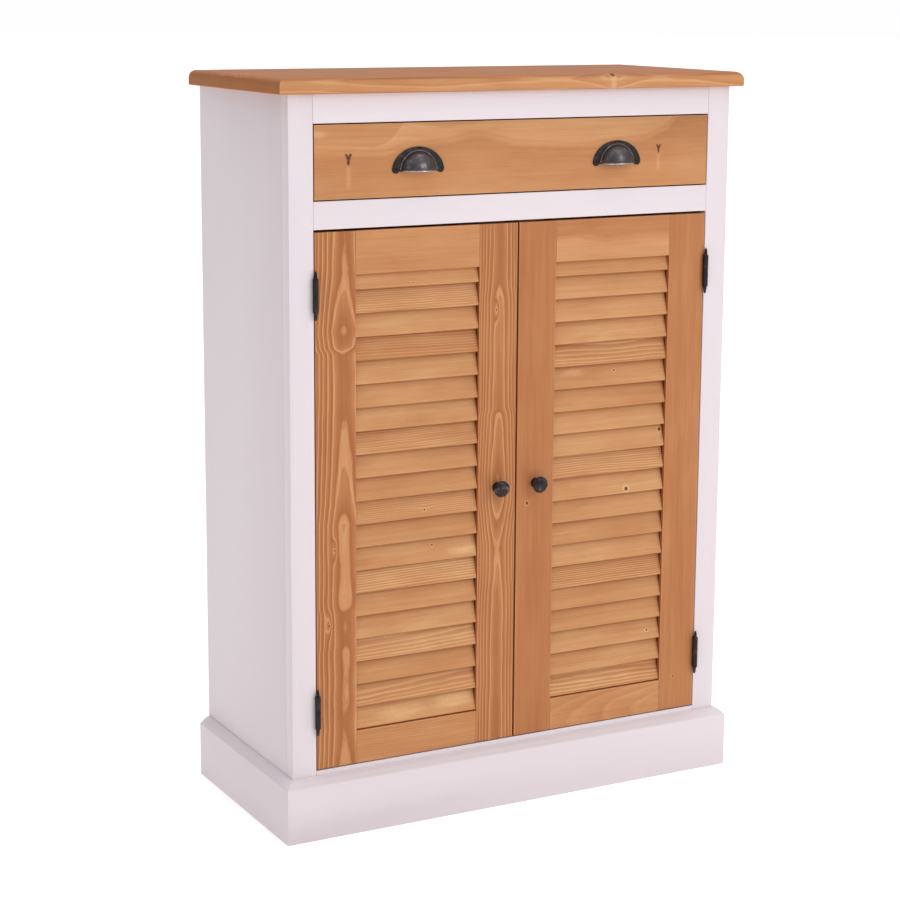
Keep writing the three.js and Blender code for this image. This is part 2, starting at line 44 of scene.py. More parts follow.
# ---- Sizes of the rebuilt pieces ----

SLAT = {
    "pitch": 37.3 * MM,
    "width": 45 * MM,
    "thickness": 7 * MM,
    "tilt": math.radians(16.5),
    "recess": 2 * MM,  # front of the door to the front of a slat
    "nose": 2.6 * MM,  # radius along the lower front edge
    "ease": 1 * MM,  # radius along the other edges
    "gap": 0.3 * MM,  # slat end to stile, and lowest slat to rail
    "depth": 20 * MM,  # front to back as it stands, for the grain
}

CUP = {
    "arch": (45 * MM, 37.5 * MM),  # half width and height of the flange
    "dome": (31 * MM, 22 * MM, 31 * MM),  # half width, depth and height
    "plate": 2 * MM,
    "wall": 1.6 * MM,
    "ear": (38.8 * MM, 3.2 * MM),  # from the middle, and above the rim
    "ear_radius": 6.2 * MM,
    "hole": (1.5 * MM, 34.6 * MM),  # radius, and height of its centre above the rim
    "bead": 1.2 * MM,
    "lip": 1.15 * MM,
}

KNOB = {
    "radius": 13.5 * MM,
    "depth": 23 * MM,
    "foot": 8.5 * MM,
    "neck": 6.2 * MM,
    "dent": 0.9 * MM,
    "dents": 210,  # for each metre
    "head": 0.6,  # share of the depth that lies behind the head
}

HINGE = {
    "half": 26.5 * MM,
    "leaf_depth": 18 * MM,
    "leaf": 1.5 * MM,
    "leaf_inset": 0.2 * MM,  # leaf to the plane through the axis
    "behind_barrel": 4.8 * MM,
    "barrel": 4.5 * MM,
    "pin": 2.5 * MM,
    "gap": 0.15 * MM,  # half of the gap between the knuckles
    "finial": 11.5 * MM,
    "axis_forward": 5 * MM,
    "strap_start": 2.7 * MM,  # behind the axis
    "strap_overlap": 0.5 * MM,  # of the strap on the leaf
    "pin_drop": 0.3 * MM,  # lower barrel to the finial under it
    "pin_short": 6 * MM,  # top of the pin below the upper knuckle's top
    "screw_sunk": 0.85 * MM,
}

SCREW = {
    "radius": 2.9 * MM,
    "dome": 0.9 * MM,
    "sunk": 0.5 * MM,
    "cross": 0.62,  # reach of the crossed recess, as a share of the radius
    "slot": 0.32 * MM,  # half width of the recess
    "cross_depth": 0.7 * MM,
}

BACK_PIN = {
    "radius": 1.9 * MM,
    "dome": 0.5 * MM,
    "sunk": 0.3 * MM,
    "inset": 5 * MM,  # from the sides of the back panel
    "end_inset": 20 * MM,  # from its top and bottom
    "spacing": 140 * MM,
}

# ---- Colours ----

STAINED = {"base": (0.583, 0.275, 0.113), "line": (0.71, 0.387, 0.182), "dark": (0.43, 0.164, 0.055)}
BARE = {"base": (0.66, 0.47, 0.27), "line": (0.55, 0.34, 0.17), "dark": (0.71, 0.53, 0.33)}
KNOT_BROWN = (0.075, 0.028, 0.014)
PAINT_WHITE = (0.765, 0.692, 0.724)
FLOOR_WHITE = (0.86, 0.855, 0.85)

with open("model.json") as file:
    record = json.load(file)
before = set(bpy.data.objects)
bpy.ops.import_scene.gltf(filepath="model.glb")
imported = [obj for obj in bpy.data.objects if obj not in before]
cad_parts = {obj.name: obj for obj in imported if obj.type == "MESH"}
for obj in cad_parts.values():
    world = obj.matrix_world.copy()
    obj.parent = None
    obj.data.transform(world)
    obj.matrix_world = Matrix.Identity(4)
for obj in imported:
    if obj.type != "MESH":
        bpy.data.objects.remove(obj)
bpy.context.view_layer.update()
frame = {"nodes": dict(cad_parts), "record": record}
NODES = frame["nodes"]


# ---- Building node trees ----


class Tree:
    """Short calls for adding shader nodes. A value is a number, a tuple or another node's socket."""

    def __init__(self, tree):
        self.tree = tree

    def add(self, kind, **settings):
        node = self.tree.nodes.new(kind)
        for name, value in settings.items():
            setattr(node, name, value)
        return node

    def feed(self, socket, value):
        if isinstance(value, bpy.types.NodeSocket):
            self.tree.links.new(value, socket)
        elif isinstance(value, tuple) and socket.type == "RGBA":
            socket.default_value = (*value, 1.0)
        else:
            socket.default_value = value

    def feed_all(self, node, values):
        for label, value in values.items():
            self.feed(node.inputs[label], value)

    def group(self, tree, values):
        node = self.add("ShaderNodeGroup", node_tree=tree)
        self.feed_all(node, values)
        return node.outputs

    def math(self, operation, *values, clamp=False):
        node = self.add("ShaderNodeMath", operation=operation, use_clamp=clamp)
        for socket, value in zip(node.inputs, values):
            self.feed(socket, value)
        return node.outputs[0]

    def times(self, a, b, clamp=False):
        return self.math("MULTIPLY", a, b, clamp=clamp)

    def plus(self, a, b):
        return self.math("ADD", a, b)

    def minus(self, a, b):
        return self.math("SUBTRACT", a, b)

    def madd(self, a, b, c):
        """a * b + c"""
        return self.math("MULTIPLY_ADD", a, b, c)

    def vector(self, operation, *values):
        node = self.add("ShaderNodeVectorMath", operation=operation)
        for socket, value in zip(node.inputs, values):
            self.feed(socket, value)
        return node.outputs["Value"] if operation == "LENGTH" else node.outputs[0]

    def split(self, vector):
        node = self.add("ShaderNodeSeparateXYZ")
        self.feed(node.inputs[0], vector)
        return tuple(node.outputs)

    def join(self, *values):
        node = self.add("ShaderNodeCombineXYZ")
        for socket, value in zip(node.inputs, values):
            self.feed(socket, value)
        return node.outputs[0]

    def noise(self, vector, scale=1.0, detail=2.0, rough=0.5):
        """Returns a value around zero, from about -0.5 to 0.5, and a colour around (0.5, 0.5, 0.5)."""
        node = self.add("ShaderNodeTexNoise")
        self.feed_all(node, {"Vector": vector, "Scale": scale, "Detail": detail, "Roughness": rough})
        return self.minus(node.outputs["Fac"], 0.5), node.outputs["Color"]

    def ramp(self, value, points):
        node = self.add("ShaderNodeValToRGB")
        node.color_ramp.interpolation = "LINEAR"
        elements = node.color_ramp.elements
        while len(elements) < len(points):
            elements.new(0.5)
        for element, (place, level) in zip(elements, points):
            element.position = place
            element.color = (level, level, level, 1.0)
        self.feed(node.inputs[0], value)
        return node.outputs[0]

    def between(self, value, low, high, to_low=0.0, to_high=1.0):
        node = self.add("ShaderNodeMapRange", interpolation_type="SMOOTHSTEP")
        for socket, number in zip(node.inputs, (value, low, high, to_low, to_high)):
            self.feed(socket, number)
        return node.outputs[0]

    def mix(self, amount, a, b, blend="MIX"):
        node = self.add("ShaderNodeMix", data_type="RGBA", blend_type=blend)
        self.feed_all(node, {"Factor": amount, "A": a, "B": b})
        return node.outputs["Result"]

    def shaded(self, color, shade):
        return self.mix(1.0, color, self.join(shade, shade, shade), blend="MULTIPLY")


def new_group(name, inputs, outputs):
    """inputs and outputs list the sockets' names by type, in order."""
    group = bpy.data.node_groups.new(name, "ShaderNodeTree")
    for way, sockets in (("INPUT", inputs), ("OUTPUT", outputs)):
        for kind, labels in sockets.items():
            for label in labels.split():
                group.interface.new_socket(label, in_out=way, socket_type=f"NodeSocket{kind}")
    tree = Tree(group)
    entry = tree.add("NodeGroupInput")
    leave = tree.add("NodeGroupOutput")
    return group, tree, entry.outputs, leave.inputs


def grain_noise(t, grain, seed, along, across, detail=2.0, rough=0.5):
    """Noise that is long with the grain, moved by the board's own seed. Returns what Tree.noise does."""
    scaled = t.vector("MULTIPLY", grain, (along, across, across))
    moved = t.vector("ADD", scaled, t.join(seed, t.times(seed, 1.7), 3.1))
    return t.noise(moved, detail=detail, rough=rough)


SURFACE_OUTPUTS = {"Color": "Color", "Float": "Height Roughness"}


def make_pine_group():
    """Growth rings about a pith that runs with the grain, wandering and leaning, seen on any face.

    Rise is the ring count that the front face has over the pith, so it draws the flames along a board.
    """
    inputs = {
        "Vector": "Grain Pith Lean",
        "Float": "Ring Face Rise Sway Wave Band Uneven Seed Cloud Soak Tone Figure Knot Pale End Side Half",
        "Color": "Base Line Dark",
    }
    group, t, i, o = new_group("pine", inputs, SURFACE_OUTPUTS)
    grain, seed = i["Grain"], i["Seed"]
    along, across, depth = t.split(grain)
    _, pith_across, pith_depth = t.split(i["Pith"])
    lean_across, lean_depth, _ = t.split(i["Lean"])
    _, slow = grain_noise(t, grain, seed, 2.2, 6.0, 1.0)
    _, quick = grain_noise(t, grain, seed, 11.0, 34.0, 3.0)
    (slow_x, slow_y, _), (quick_x, quick_y, _) = (
        t.split(t.vector("SUBTRACT", color, (0.5, 0.5, 0.5))) for color in (slow, quick)
    )

    def wander(place, pith, lean, slow_part, quick_part):
        straight = t.minus(t.minus(place, pith), t.times(lean, along))
        bowed = t.madd(slow_part, i["Sway"], straight)
        return t.madd(quick_part, i["Wave"], bowed)

    u = wander(across, pith_across, lean_across, slow_x, quick_x)
    v = wander(depth, pith_depth, lean_depth, slow_y, quick_y)
    radius = t.math("SQRT", t.plus(t.times(u, u), t.times(v, v)))
    rings = t.plus(t.math("DIVIDE", t.minus(radius, i["Face"]), i["Ring"]), i["Rise"])
    uneven, _ = t.noise(t.join(t.times(rings, 0.7), seed, 0.0), detail=1.0)
    rings = t.madd(uneven, i["Uneven"], rings)
    part = t.math("FRACT", rings)
    own = t.add("ShaderNodeTexWhiteNoise", noise_dimensions="2D")
    t.feed(own.inputs["Vector"], t.join(t.math("FLOOR", rings), seed, 0.0))
    strength = t.madd(own.outputs["Value"], 0.45, 0.7)
    # Latewood took little stain: it comes up paler, over Band of the ring, and stops sharply.
    start = t.minus(0.97, i["Band"])
    rise = t.between(part, start, t.madd(i["Band"], 0.22, start))
    body = t.between(part, start, t.madd(i["Band"], 0.8, start), 1.0, 0.72)
    late = t.times(t.times(rise, body), t.between(part, 0.955, 0.99, 1.0, 0.0))
    line = t.times(t.times(late, strength), i["Figure"], clamp=True)
    early = t.times(t.between(part, 0.0, 0.06), t.between(part, 0.1, 0.75, 1.0, 0.25))

    fibre, _ = grain_noise(t, grain, seed, 14.0, 620.0, rough=0.65)
    streak, _ = grain_noise(t, grain, seed, 3.5, 150.0)
    cloud, _ = grain_noise(t, grain, seed, 7.0, 22.0, 4.0, rough=0.62)
    shade = t.madd(fibre, 0.24, 1.0)
    shade = t.madd(streak, 0.24, shade)
    shade = t.madd(cloud, i["Cloud"], shade)
    shade = t.times(shade, i["Tone"])
    # Edge faces are made darker by a share set for each board: painted shade for the gaps between parts
    # where these faces stand, with some extra stain taken up there. A share below zero makes them lighter
    # instead, which is painted light.
    shade = t.times(shade, t.minus(1.0, t.times(i["Side"], i["Soak"])))
    darkness = t.times(early, t.times(i["Figure"], 0.95), clamp=True)
    color = t.mix(darkness, i["Base"], i["Dark"])
    color = t.mix(line, color, i["Line"])
    color = t.mix(i["Pale"], color, i["Line"])
    tint = t.join(*(t.math("POWER", shade, power) for power in (0.75, 1.5, 2.0)))
    color = t.mix(1.0, color, tint, blend="MULTIPLY")
    # The eased edge is rubbed paler, unevenly.
    reach = t.plus(t.math("ABSOLUTE", across), t.times(streak, 0.004))
    rub = t.between(reach, t.minus(i["Half"], 0.0018), i["Half"], 0.0, 0.3)
    front = t.minus(1.0, i["Side"])
    color = t.mix(t.times(rub, front), color, i["Line"])
    color = t.mix(t.times(i["End"], 0.62), color, t.mix(0.35, i["Dark"], KNOT_BROWN))
    color = t.mix(i["Knot"], color, KNOT_BROWN)
    t.feed(o["Color"], color)
    height = t.madd(line, 0.5, t.times(fibre, 0.5))
    t.feed(o["Height"], t.minus(height, t.times(i["Knot"], 0.4)))
    rough = t.madd(fibre, 0.16, t.madd(line, -0.07, 0.58))
    t.feed(o["Roughness"], t.madd(i["End"], 0.15, rough))
    return group


def make_knot_group():
    """A knot at a place on the face: how far it bends the rings, and how dark it is.

    Cleft 0 gives a round knot, with no dark core but a pale patch where Core is 0. Cleft 1 gives the dark
    V of a knot that was cut along its length.
    """
    inputs = {"Vector": "Grain Place", "Float": "Radius Cleft Bend Knot Pale Core"}
    group, t, i, o = new_group("knot", inputs, {"Float": "Bend Knot Pale"})
    offset = t.vector("SUBTRACT", i["Grain"], i["Place"])
    wobble, _ = t.noise(i["Grain"], scale=260.0, detail=2.0)
    flat = t.vector("LENGTH", t.vector("MULTIPLY", offset, (1.0, 1.0, 0.0)))
    long = t.vector("LENGTH", t.vector("MULTIPLY", offset, (0.28, 1.0, 0.0)))
    size = t.math("DIVIDE", t.madd(wobble, 0.0016, flat), i["Radius"])
    around = t.math("DIVIDE", long, t.times(i["Radius"], 3.2))
    pull = t.math("EXPONENT", t.times(t.times(around, around), -1.0))
    round_knot = t.minus(1.0, i["Cleft"])
    bend = t.times(t.times(round_knot, i["Core"]), 1.3)
    t.feed(o["Bend"], t.madd(pull, bend, i["Bend"]))
    core = t.between(size, 0.7, 1.2, 0.9, 0.0)
    disc = t.times(t.times(core, i["Core"]), round_knot)
    # The V: two arms that close downwards, then a short stem.
    along, across, _ = t.split(t.vector("DIVIDE", offset, t.join(i["Radius"], i["Radius"], i["Radius"])))
    torn = t.madd(wobble, 0.5, t.math("ABSOLUTE", along))
    opening = t.math("MAXIMUM", t.madd(across, 0.45, 0.1), 0.0)
    arm = t.between(t.math("ABSOLUTE", t.minus(torn, opening)), 0.16, 0.62, 0.97, 0.0)
    window = t.times(t.between(across, -2.0, -1.2), t.between(across, 1.1, 1.7, 1.0, 0.0))
    cleft = t.times(t.times(arm, window), i["Cleft"])
    t.feed(o["Knot"], t.math("MAXIMUM", i["Knot"], t.math("MAXIMUM", disc, cleft)))
    # Under a V the cut branch goes on as a pale streak. Round knots have a pale rim.
    below = t.times(t.between(across, -9.0, -7.0), t.between(across, -2.6, -1.8, 1.0, 0.0))
    streak = t.times(t.between(torn, 0.1, 1.1, 0.34, 0.0), t.times(below, i["Cleft"]))
    rim = t.times(t.between(size, 1.0, 1.35), t.between(size, 1.4, 2.6, 0.8, 0.0))
    rim = t.times(rim, i["Core"])
    soft = t.madd(wobble, 0.9, t.math("DIVIDE", long, i["Radius"]))
    patch = t.times(t.between(soft, 0.1, 1.5, 0.8, 0.0), t.minus(1.0, i["Core"]))
    pale = t.math("MAXIMUM", streak, t.times(t.math("MAXIMUM", rim, patch), round_knot))
    t.feed(o["Pale"], t.math("MAXIMUM", i["Pale"], pale))
    return group


def make_paint_group():
    """Sprayed and sanded white paint over pine: faint grain under it, thin on the edges."""
    inputs = {"Vector": "Grain", "Float": "Seed Half"}
    group, t, i, o = new_group("paint", inputs, SURFACE_OUTPUTS)
    grain, seed = i["Grain"], i["Seed"]
    _, across, _ = t.split(grain)
    slow, _ = grain_noise(t, grain, seed, 2.5, 9.0)
    vein, _ = grain_noise(t, grain, seed, 2.2, 95.0, rough=0.6)
    pores, _ = grain_noise(t, grain, seed, 25.0, 700.0, rough=0.7)
    peel, _ = t.noise(grain, scale=420.0, detail=1.0)
    shade = t.madd(slow, 0.055, t.madd(vein, 0.035, 1.0))
    color = t.shaded(PAINT_WHITE, shade)
    reach = t.plus(t.math("ABSOLUTE", across), t.times(vein, 0.003))
    thin = t.between(reach, t.minus(i["Half"], 0.0018), i["Half"], 0.0, 0.22)
    color = t.mix(thin, color, (0.74, 0.63, 0.60))
    t.feed(o["Color"], color)
    relief = t.madd(pores, 0.35, t.times(vein, 0.8))
    t.feed(o["Height"], t.madd(peel, 0.25, relief))
    t.feed(o["Roughness"], t.madd(vein, 0.12, t.madd(slow, 0.14, 0.5)))
    return group


PINE = make_pine_group()
KNOT = make_knot_group()
PAINT = make_paint_group()


# ---- Materials ----


def new_material(name):
    material = bpy.data.materials.new(name)
    material.use_nodes = True
    shader = material.node_tree.nodes["Principled BSDF"]
    return material, Tree(material.node_tree), shader


def grain_coordinates(t, axes, centre):
    """Object coordinates as (along, across, depth) from the board's middle. axes is such as "zxy".

    Also returns how much the surface is an end face and an edge face.
    """
    coordinates = t.add("ShaderNodeTexCoord")
    own = t.vector("SUBTRACT", coordinates.outputs["Object"], tuple(centre))
    parts = dict(zip("xyz", t.split(own)))
    normal = dict(zip("xyz", t.split(coordinates.outputs["Normal"])))
    end, side = (t.between(t.math("ABSOLUTE", normal[axis]), 0.6, 0.85) for axis in axes[:2])
    return t.join(*(parts[axis] for axis in axes)), end, side


def set_surface(t, shader, color, roughness, relief=None, **uniform):
    """relief is (height, distance, strength) of the bump. uniform values go straight on the sockets."""
    sockets = {"level": "Specular IOR Level", "metallic": "Metallic"}
    for label, value in uniform.items():
        shader.inputs[sockets[label]].default_value = value
    t.feed_all(shader, {"Base Color": color, "Roughness": roughness})
    if relief:
        node = t.add("ShaderNodeBump")
        t.feed_all(node, dict(zip(("Height", "Distance", "Strength"), relief)))
        t.feed(shader.inputs["Normal"], node.outputs["Normal"])


def drawn_along(t, grain, half_length, points):
    """A value that is drawn along a board, from (share of the length, value) points."""
    along, _, _ = t.split(grain)
    share = t.madd(along, 0.5 / half_length, 0.5)
    values = [value for _, value in points]
    low, span = min(values), max(values) - min(values)
    level = t.ramp(share, [(place, (value - low) / span) for place, value in points])
    return t.madd(level, span, low)


def pine_material(name, axes, box, look, colours=STAINED):
    """One board's own pine. look says how the board was cut; see STAINED_BOARDS."""
    material, t, shader = new_material(name)
    low, high = box
    size = high - low
    grain, end, side = grain_coordinates(t, axes, (low + high) / 2)
    half_length, half_width, half_depth = (size["xyz".index(axis)] / 2 for axis in axes)
    bend, mask, pale = 0.0, 0.0, 0.0
    if "rise" in look:
        bend = drawn_along(t, grain, half_length, look["rise"])
    band = look.get("band", 0.2)
    if isinstance(band, tuple):
        band = drawn_along(t, grain, half_length, band)
    for kind, place, radius in look.get("knots", ()):
        bend, mask, pale = t.group(KNOT, {
            "Grain": grain, "Place": (*place, 0.0), "Radius": radius, "Cleft": float(kind == "cleft"),
            "Core": float(kind != "patch"), "Bend": bend, "Knot": mask, "Pale": pale,
        })
    color, height, roughness = t.group(PINE, {
        "Grain": grain, "End": end, "Side": side, "Rise": bend, "Knot": mask, "Pale": pale,
        "Half": half_width, "Pith": (0.0, *look["pith"]), "Face": abs(-half_depth - look["pith"][1]),
        "Lean": (*look.get("lean", (0.0, 0.0)), 0.0), "Ring": look["ring"], "Band": band,
        "Sway": look.get("sway", 0.02), "Wave": look.get("wave", 0.0035),
        "Uneven": 0.05 if "rise" in look else 0.5, "Cloud": look.get("cloud", 0.34),
        # The edge share: edge faces darker by this much, as painted shade of the gaps, 0.3 unless the board
        # gives its own.
        "Soak": look.get("soak", 0.3), "Seed": look["seed"], "Tone": look["tone"],
        "Figure": look["figure"], **{label.title(): color for label, color in colours.items()},
    })
    set_surface(t, shader, color, roughness, (height, 0.35 * MM, 0.45), level=0.25)
    return material


def paint_material(name, axes, box, seed):
    material, t, shader = new_material(name)
    low, high = box
    grain, _, _ = grain_coordinates(t, axes, (low + high) / 2)
    half = (high - low)["xyz".index(axes[1])] / 2
    color, height, roughness = t.group(PAINT, {"Grain": grain, "Seed": seed, "Half": half})
    set_surface(t, shader, color, roughness, (height, 0.25 * MM, 0.3), level=0.4)
    return material


def black_metal_material(name, dark, worn, metallic, rough):
    """Blackened cast metal: mottled, and rubbed brighter in patches."""
    material, t, shader = new_material(name)
    place = t.add("ShaderNodeTexCoord").outputs["Object"]
    patina, _ = t.noise(place, scale=95.0, detail=4.0, rough=0.65)
    grit, _ = t.noise(place, scale=900.0, detail=2.0, rough=0.6)
    color = t.mix(t.between(patina, 0.0, 0.2), dark, worn)
    roughness = t.madd(patina, -0.25, t.madd(grit, 0.15, rough))
    height = t.madd(patina, 0.6, t.times(grit, 0.4))
    set_surface(t, shader, color, roughness, (height, 0.3 * MM, 0.5), metallic=metallic)
    return material


def plated_material(name, color, scale, metallic):
    """Zinc-plated steel, or moulded plastic where metallic is 0."""
    material, t, shader = new_material(name)
    place = t.add("ShaderNodeTexCoord").outputs["Object"]
    cloud, _ = t.noise(place, scale=scale, detail=3.0)
    mottled = t.shaded(color, t.madd(cloud, 0.18, 1.0))
    set_surface(t, shader, mottled, t.madd(cloud, 0.3, 0.4), (cloud, 0.1 * MM, 0.3), metallic=metallic)
    return material


def floor_material():
    material, t, shader = new_material("studio_floor")
    place = t.add("ShaderNodeTexCoord").outputs["Object"]
    cloud, _ = t.noise(place, scale=1.3, detail=3.0)
    color = t.shaded(FLOOR_WHITE, t.madd(cloud, 0.02, 1.0))
    set_surface(t, shader, color, t.madd(cloud, 0.1, 0.85), level=0.2)
    # The floor is lit from below, like a light table, so that it is as white as the backdrop.
    t.feed(shader.inputs["Emission Color"], (1.0, 0.99, 0.995))
    shader.inputs["Emission Strength"].default_value = 0.4
    return material


# Each blackened metal: its name's ending, dark colour, worn colour, metallic and roughness.
KNOB_BLACK, BLACK, DOME, EDGE, RIM = (
    black_metal_material(f"black_metal{ending}", *values) for ending, *values in (
        ("_knob", (0.032, 0.025, 0.027), (0.14, 0.12, 0.125), 0.8, 0.3),
        ("", (0.016, 0.013, 0.013), (0.050, 0.043, 0.045), 0.55, 0.4),
        # The dome's metal is a lighter copy of the flange's black: painted reflection.
        ("_painted_reflection", (0.085, 0.075, 0.080), (0.17, 0.155, 0.165), 0.85, 0.33),
        # The bead's metal is lighter still: a painted highlight for the light the bead catches from above.
        ("_edge", (0.14, 0.12, 0.125), (0.30, 0.27, 0.28), 0.6, 0.45),
        # The rim's metal is bright: a painted highlight along the rim, over some rubbed-bare wear.
        ("_rubbed_highlight", (0.42, 0.37, 0.36), (0.62, 0.56, 0.54), 1.0, 0.28),
    )
)
ZINC = plated_material("zinc_plate", (0.52, 0.52, 0.53), 240.0, 0.9)
PLASTIC = plated_material("white_plastic", (0.74, 0.73, 0.70), 90.0, 0.0)


def new_object(name, data):
    thing = bpy.data.objects.new(name, data)
    bpy.context.scene.collection.objects.link(thing)
    return thing


def wear(piece, material):
    piece.data.materials.clear()
    piece.data.materials.append(material)


# ---- The boards, which keep their CAD nodes ----

# How the boards' grain runs: the axes along it, across the face and through the board.
GRAIN_ROWS = (
    ("xyz", "top"), ("zxy", "back_panel"), ("zyx", "left_side_panel right_side_panel"),
    ("xyz", "bottom_board dust_board"), ("zxy", "frame_left_stile frame_right_stile"),
    ("xzy", "frame_top_rail frame_middle_rail frame_bottom_rail plinth_front"),
    ("yzx", "plinth_left plinth_right left_drawer_runner right_drawer_runner"),
    ("xyz", "shelf_1 shelf_2 shelf_3"), ("xzy", "drawer_front"),
    ("yzx", "drawer_left_side drawer_right_side"), ("xzy", "drawer_back"), ("xyz", "drawer_bottom"),
)
GRAIN = {node: axes for axes, nodes in GRAIN_ROWS for node in nodes.split()}
for side in SIDES:
    GRAIN.update({f"{side}_door_{place}_stile": "zxy" for place in ("hinge", "meeting")})
    GRAIN.update({f"{side}_door_{place}_rail": "xzy" for place in ("top", "bottom")})
    GRAIN.update({f"shelf_{i}_{side}_cleat": "yzx" for i in (1, 2, 3)})

# The stained boards seen from the front, each as it was cut: where its pith lies from its middle, across
# and in depth, how the pith leans, the ring width, how much it sways and waves, how wide its latewood is,
# and its knots as (kind, (along, across), radius). rise draws the flames, as (share of length, rings).
STAINED_BOARDS = {
    "top": dict(
        # Below zero, the edge share makes the top's front and back faces lighter than its upper face:
        # painted light.
        pith=(0.02, -0.11), lean=(0.02, 0.03), ring=6 * MM, figure=0.5, seed=3.1, tone=0.77, soak=-0.33,
        knots=(("round", (0.165, -0.176), 4 * MM),),
    ),
    "drawer_front": dict(
        pith=(0.090, -0.045), ring=130 * MM, sway=0.004, wave=0.010, figure=0.55, seed=8.4, tone=1.0,
        rise=(
            (0.0, 0.644), (0.165, 0.619), (0.21, 0.685), (0.325, 0.732), (0.378, 0.775), (0.415, 0.762),
            (0.48, 0.689), (0.61, 0.635), (0.705, 0.647), (0.835, 0.71), (0.89, 0.803), (0.915, 0.905),
            (0.93, 0.95), (1.0, 0.96),
        ),
        band=(
            (0.0, 0.025), (0.14, 0.025), (0.185, 0.09), (0.215, 0.21), (0.255, 0.15), (0.315, 0.095),
            (0.378, 0.07), (0.455, 0.18), (0.51, 0.28), (0.6, 0.31), (0.705, 0.3), (0.835, 0.22),
            (0.93, 0.14), (1.0, 0.08),
        ),
        knots=(
            ("cleft", (-0.300, 0.004), 5.6 * MM), ("cleft", (0.262, 0.005), 4.4 * MM),
            ("patch", (-0.358, 0.042), 6.5 * MM),
        ),
    ),
    "left_door_hinge_stile": dict(
        pith=(0.015, -0.053), ring=5 * MM, sway=0.005, band=0.25, figure=1.0, seed=2.3, tone=0.85,
        rise=(
            (0.0, -0.45), (0.04, -0.2), (0.07, -0.08), (0.085, -0.07), (0.11, -0.15), (0.135, -0.15),
            (0.165, -0.055), (0.222, -0.035), (0.232, 0.15), (0.295, 0.18), (0.302, -0.02), (0.309, -0.12),
            (0.325, -0.17), (0.35, -0.14), (0.39, -0.05), (0.462, -0.035), (0.472, 0.1), (0.50, 0.4),
            (0.57, 0.72), (0.633, 0.93), (0.68, 1.08), (0.775, 1.12), (0.782, 0.95), (0.79, 0.35),
            (0.805, 0.12), (0.82, -0.05), (0.838, 0.15), (0.872, 0.55), (0.915, 0.95), (0.925, 1.03),
            (1.0, 1.14),
        ),
        knots=(("round", (-0.073, -0.003), 1.4 * MM), ("round", (-0.194, -0.013), 1.6 * MM)),
    ),
    "left_door_meeting_stile": dict(
        pith=(0.003, -0.034), ring=4 * MM, sway=0.003, wave=0.003, figure=0.95, seed=5.7, tone=0.85,
        rise=(
            (0.0, 0.2), (0.25, 0.3), (0.30, 0.55), (0.318, 0.8), (0.34, 0.85), (0.38, 0.9), (0.40, 0.7),
            (0.43, 0.1), (0.445, -0.15), (0.47, -0.6), (0.52, -0.9), (0.57, -0.6), (0.64, -0.08),
            (0.65, 0.4), (0.80, 0.45), (0.86, 0.6), (0.881, 0.97), (0.90, 1.1), (1.0, 1.2),
        ),
        knots=(("round", (0.29, -0.003), 1.2 * MM),),
    ),
    "left_door_top_rail": dict(pith=(0.150, -0.01), ring=2.2 * MM, figure=0.3, seed=1.2, tone=0.96),
    "left_door_bottom_rail": dict(
        pith=(0.09, -0.05), lean=(0.0, 0.06), ring=4 * MM, figure=0.3, seed=6.6, tone=0.95,
    ),
    "right_door_hinge_stile": dict(
        pith=(0.120, -0.01), ring=2.4 * MM, figure=0.28, seed=4.4, tone=0.81,
        knots=(("round", (-0.37, -0.006), 1.8 * MM),),
    ),
    "right_door_meeting_stile": dict(
        pith=(-0.130, -0.015), ring=2.8 * MM, figure=0.3, seed=9.1, tone=0.77,
        knots=(("round", (-0.033, -0.0148), 2.4 * MM),),
    ),
    "right_door_top_rail": dict(
        pith=(-0.030, -0.045), ring=70 * MM, sway=0.004, wave=0.012, band=0.3, figure=0.42, seed=7.5,
        rise=((0.0, 0.80), (0.2, 0.76), (0.45, 0.86), (0.7, 0.81), (1.0, 0.84)), tone=0.91,
    ),
    "right_door_bottom_rail": dict(
        pith=(-0.02, -0.09), lean=(0.0, 0.10), ring=7 * MM, figure=0.3, seed=2.9, tone=0.95,
    ),
}

SLOT_OF = {row["node"]: row["material_slot"] for row in frame["record"]["subparts"]}


def ease_edges(piece, width, segments=3):
    """Rounds the sharp edges of a CAD solid with modifiers, so that its own mesh stays as it is."""
    for polygon in piece.data.polygons:
        polygon.use_smooth = True
    weld = piece.modifiers.new("weld", "WELD")
    weld.merge_threshold = 0.01 * MM
    bevel = piece.modifiers.new("ease", "BEVEL")
    bevel.width = width
    bevel.segments = segments
    bevel.limit_method = "ANGLE"
    bevel.angle_limit = math.radians(32)
    bevel.harden_normals = True


def dress_boards():
    draw = random.Random(11)
    for node, axes in GRAIN.items():
        piece, box = NODES[node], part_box(node)
        seed = draw.uniform(0.0, 20.0)
        if SLOT_OF[node] == "white_paint":
            wear(piece, paint_material(f"{node}_paint", axes, box, seed))
            ease_edges(piece, 0.6 * MM)
        elif node in STAINED_BOARDS:
            wear(piece, pine_material(f"{node}_pine", axes, box, STAINED_BOARDS[node]))
            ease_edges(piece, 0.5 * MM)
        else:
            look = dict(
                pith=(draw.uniform(-0.05, 0.05), draw.uniform(-0.12, -0.05)),
                lean=(draw.uniform(-0.02, 0.02), draw.uniform(0.01, 0.05)),
                ring=5 * MM, figure=0.55, seed=seed, tone=draw.uniform(0.94, 1.04),
            )
            wear(piece, pine_material(f"{node}_pine", axes, box, look, BARE))
            ease_edges(piece, 0.6 * MM, 2)


# ---- Mesh helpers ----


def ellipse(a, b, start, stop, steps, centre=(0.0, 0.0)):
    """Points on an ellipse in a plane, with both ends, from angle start to stop in degrees."""
    angles = (math.radians(start + (stop - start) * k / steps) for k in range(steps + 1))
    return [(centre[0] + a * math.cos(t), centre[1] + b * math.sin(t)) for t in angles]


